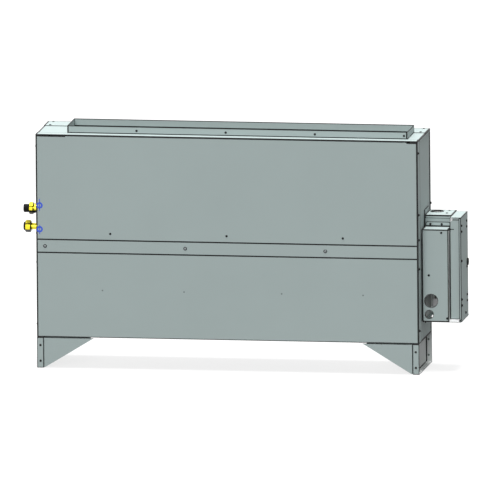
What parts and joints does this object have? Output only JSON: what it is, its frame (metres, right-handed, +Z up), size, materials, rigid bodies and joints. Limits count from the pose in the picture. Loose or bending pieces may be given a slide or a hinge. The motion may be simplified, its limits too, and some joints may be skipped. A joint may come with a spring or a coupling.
{
  "type": "concealed floor air conditioner unit",
  "caption": "Concealed floor air conditioner: sheet metal casing on legs, top duct collar, side control box, pipe unions, fans with scroll housings, leaning coil and slide-out filter.",
  "frame": {"origin": "on the floor, in the middle of the four floor fixing holes", "axes": "+X to the right seen from the front, +Y from the front panel to the back, +Z up"},
  "size_m": [1.3473, 0.2422, 0.737],
  "materials": {
    "casing_steel": "smooth light grey coated sheet, satin",
    "leg_steel": "same grey coated sheet, 2 mm",
    "box_steel": "same grey coated sheet",
    "screw_steel": "dark zinc plated steel",
    "black_cap": "matt black plastic",
    "brass": "turned yellow brass",
    "galvanised_sheet": "galvanised sheet, dull",
    "wheel_plastic": "dark grey moulded plastic",
    "shaft_steel": "ground steel",
    "motor_paint": "black painted steel shell",
    "rubber": "black rubber",
    "coil_fins": "bare aluminium fins, 2 mm apart",
    "copper": "bare copper tube",
    "drain_plastic": "light grey plastic pipe",
    "filter_plastic": "dark grey moulded frame",
    "filter_net": "woven plastic net",
    "board": "circuit board and moulded blocks"
  },
  "bodies": {
    "unit": {"front_upper_panel": "casing_steel", "front_joint_rail": "casing_steel", "front_lower_panel": "casing_steel", "left_side_panel": "casing_steel", "right_side_panel": "casing_steel", "rear_panel": "casing_steel", "top_frame_plate": "casing_steel", "top_rear_cover": "casing_steel", "discharge_collar": "casing_steel", "base_pan": "casing_steel", "left_leg": "leg_steel", "right_leg": "leg_steel", "left_leg_gusset": "leg_steel", "right_leg_gusset": "leg_steel", "control_box_shell": "box_steel", "control_box_base": "box_steel", "control_box_lid": "box_steel", "control_box_surround": "box_steel", "control_box_top": "box_steel", "control_side_tray": "box_steel", "control_side_cover": "box_steel", "control_box_straps": "box_steel", "casing_screws": "screw_steel", "rail_screws": "screw_steel", "leg_bolts": "screw_steel", "control_box_screws": "screw_steel", "gas_union_cap": "black_cap", "liquid_union_cap": "black_cap", "control_side_plug": "black_cap", "gas_union": "brass", "liquid_union": "brass", "gas_flare_nut": "brass", "liquid_flare_nut": "brass", "fan_deck": "galvanised_sheet", "left_fan_housing": "galvanised_sheet", "right_fan_housing": "galvanised_sheet", "motor_cradle": "galvanised_sheet", "coil_left_plate": "galvanised_sheet", "coil_right_plate": "galvanised_sheet", "coil_baffle": "galvanised_sheet", "left_filter_runner": "galvanised_sheet", "right_filter_runner": "galvanised_sheet", "filter_stop": "galvanised_sheet", "drain_pan": "galvanised_sheet", "fan_motor": "motor_paint", "motor_rubber_rings": "rubber", "coil_fin_pack": "coil_fins", "coil_return_bends": "copper", "gas_header": "copper", "liquid_header": "copper", "drain_pipe": "drain_plastic", "control_board": "board", "terminal_block": "board", "fan_capacitor": "board"},
    "fan_rotor": {"fan_shaft": "shaft_steel", "left_fan_wheel": "wheel_plastic", "right_fan_wheel": "wheel_plastic"},
    "filter": {"filter_frame": "filter_plastic", "filter_mesh": "filter_net"}
  },
  "joints": [
    {"name": "fan_spin", "type": "hinge", "parent": "unit", "child": "fan_rotor", "pos_m": [0.016, -0.02, 0.213], "axis": [1, 0, 0], "continuous": true},
    {"name": "filter_slide", "type": "slide", "parent": "unit", "child": "filter", "axis": [0, -1, 0], "range_m": [0, 0.17]}
  ]
}
